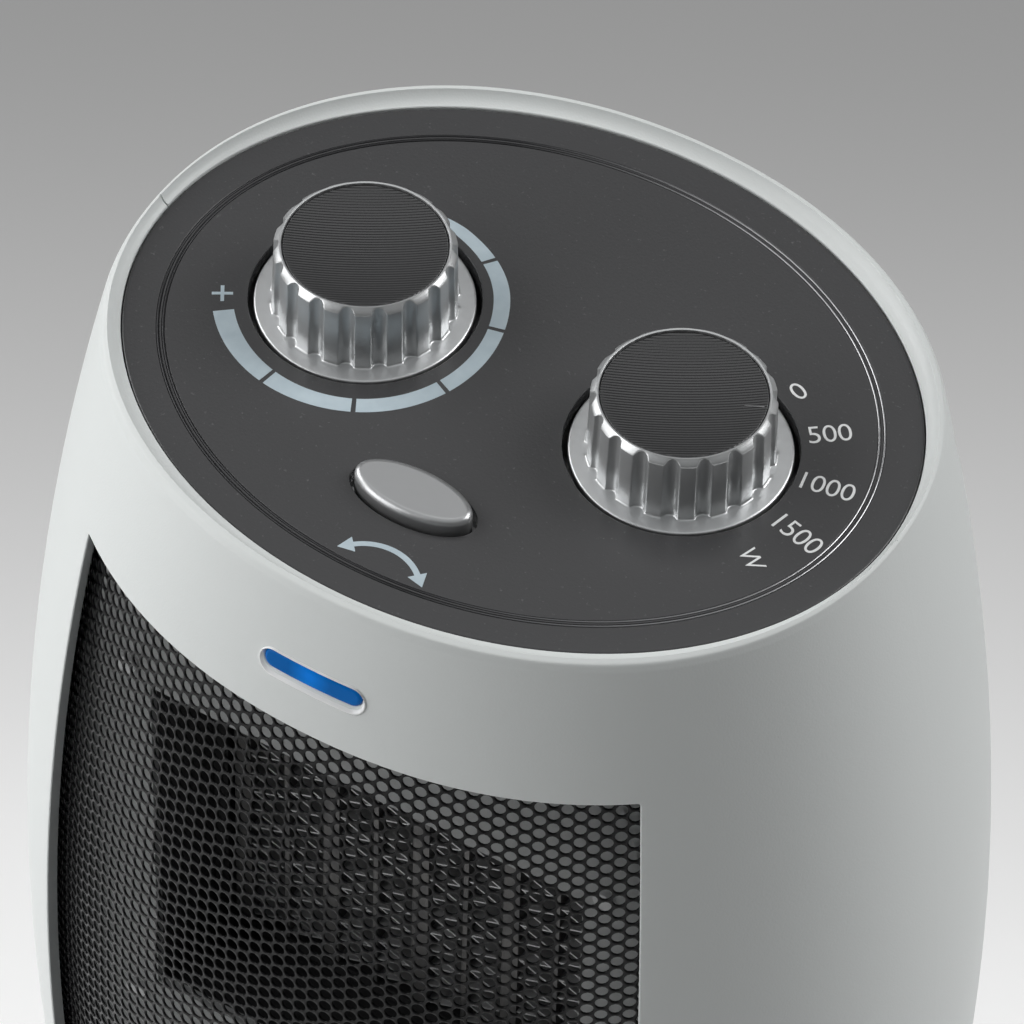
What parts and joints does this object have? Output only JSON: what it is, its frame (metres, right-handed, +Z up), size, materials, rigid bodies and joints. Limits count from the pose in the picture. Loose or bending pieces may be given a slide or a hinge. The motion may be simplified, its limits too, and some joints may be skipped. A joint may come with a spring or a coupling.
{
  "type": "ceramic fan heater",
  "caption": "Oscillating ceramic fan heater: bulged oval casing on a turning base, perforated outlet, two fluted knobs and a swing button on its top panel.",
  "frame": {"origin": "centre of the footprint on the surface that the feet stand on", "axes": "+Z up, the outlet faces -Y, +X to the right seen from the front"},
  "size_m": [0.1834, 0.1581, 0.2615],
  "materials": {
    "white_plastic": "fine satin moulded",
    "panel_grey": "satin with fine speckle",
    "black_plastic": "matt moulded",
    "black_gloss": "gloss with fine ridges",
    "silver_plate": "satin plated plastic",
    "grille_black": "satin black perforated sheet",
    "steel": "zinc plated",
    "core_steel": "laminated",
    "aluminium": "bare",
    "ceramic": "fired grey",
    "copper": "enamelled wire",
    "bronze": "sintered",
    "rubber": "matt",
    "nylon": "natural nylon",
    "blue_lens": "clear blue light guide",
    "board_green": "circuit board"
  },
  "bodies": {
    "base": {"base_housing": "white_plastic", "base_cover": "black_plastic", "rubber_feet": "rubber", "base_screws": "steel", "glide_ring": "nylon", "pivot_retainer": "steel", "cord_gland": "rubber", "tip_switch": "black_plastic", "tip_spring": "steel"},
    "body": {"front_shell": "white_plastic", "rear_shell": "white_plastic", "rear_grille": "white_plastic", "front_grille": "grille_black", "front_baffle": "white_plastic", "air_duct": "black_plastic", "element_frame": "black_plastic", "element_tubes": "aluminium", "element_dividers": "aluminium", "element_fins": "aluminium", "ceramic_stones": "ceramic", "element_terminals": "steel", "thermal_cutout": "black_plastic", "fan_shroud": "black_plastic", "duct_screws": "steel", "shell_screws": "steel", "motor_core": "core_steel", "coil_bobbin": "nylon", "coil_winding": "copper", "front_bearing_bracket": "steel", "rear_bearing_bracket": "steel", "motor_bushes": "bronze", "motor_screws": "steel", "body_floor": "white_plastic", "floor_screws": "steel", "swing_motor": "steel", "terminal_block": "white_plastic", "control_panel": "panel_grey", "control_chassis": "steel", "panel_screws": "steel", "thermostat": "nylon", "selector_switch": "black_plastic", "switch_nuts": "steel", "latching_switch": "black_plastic", "button_spring": "steel", "light_window": "blue_lens", "light_board": "board_green"},
    "crank": {"swing_shaft": "steel", "swing_crank": "nylon", "crank_roller": "nylon"},
    "fan": {"fan_impeller": "black_plastic", "motor_shaft": "steel", "motor_rotor": "core_steel"},
    "thermostat_dial": {"thermostat_knob": "silver_plate", "thermostat_knob_cap": "black_gloss", "thermostat_shaft": "steel"},
    "selector_dial": {"selector_knob": "silver_plate", "selector_knob_cap": "black_gloss", "selector_shaft": "steel"},
    "button": {"swing_button": "silver_plate"},
    "plunger": {"tip_plunger": "black_plastic"}
  },
  "joints": [
    {"name": "body_swing", "type": "hinge", "parent": "base", "child": "body", "pos_m": [0, 0, 0.022], "axis": [0, 0, 1], "range_deg": [-30, 30]},
    {"name": "crank_turn", "type": "hinge", "parent": "body", "child": "crank", "pos_m": [0, 0.032, 0.016], "axis": [0, 0, 1], "range_deg": [-90, 90]},
    {"name": "fan_spin", "type": "hinge", "parent": "body", "child": "fan", "pos_m": [0, 0.0135, 0.141], "axis": [0, 1, 0], "continuous": true},
    {"name": "thermostat_turn", "type": "hinge", "parent": "body", "child": "thermostat_dial", "pos_m": [-0.0321, 0.0002, 0.248], "axis": [0, 0, 1], "range_deg": [-135, 135]},
    {"name": "selector_turn", "type": "hinge", "parent": "body", "child": "selector_dial", "pos_m": [0.0321, 0.0002, 0.248], "axis": [0, 0, 1], "range_deg": [-35, 43]},
    {"name": "button_press", "type": "slide", "parent": "body", "child": "button", "axis": [0, 0, -1], "range_m": [0, 0.003], "stiffness_N_per_m": 250, "springref_m": -0.002, "deforming": ["button_spring"]},
    {"name": "tip_press", "type": "slide", "parent": "base", "child": "plunger", "axis": [0, 0, -1], "range_m": [0, 0.0035], "stiffness_N_per_m": 60, "springref_m": 0.005, "deforming": ["tip_spring"]}
  ],
  "couplings": [
    {"joint": "crank_turn", "follows": "body_swing", "ratio": -3}
  ]
}
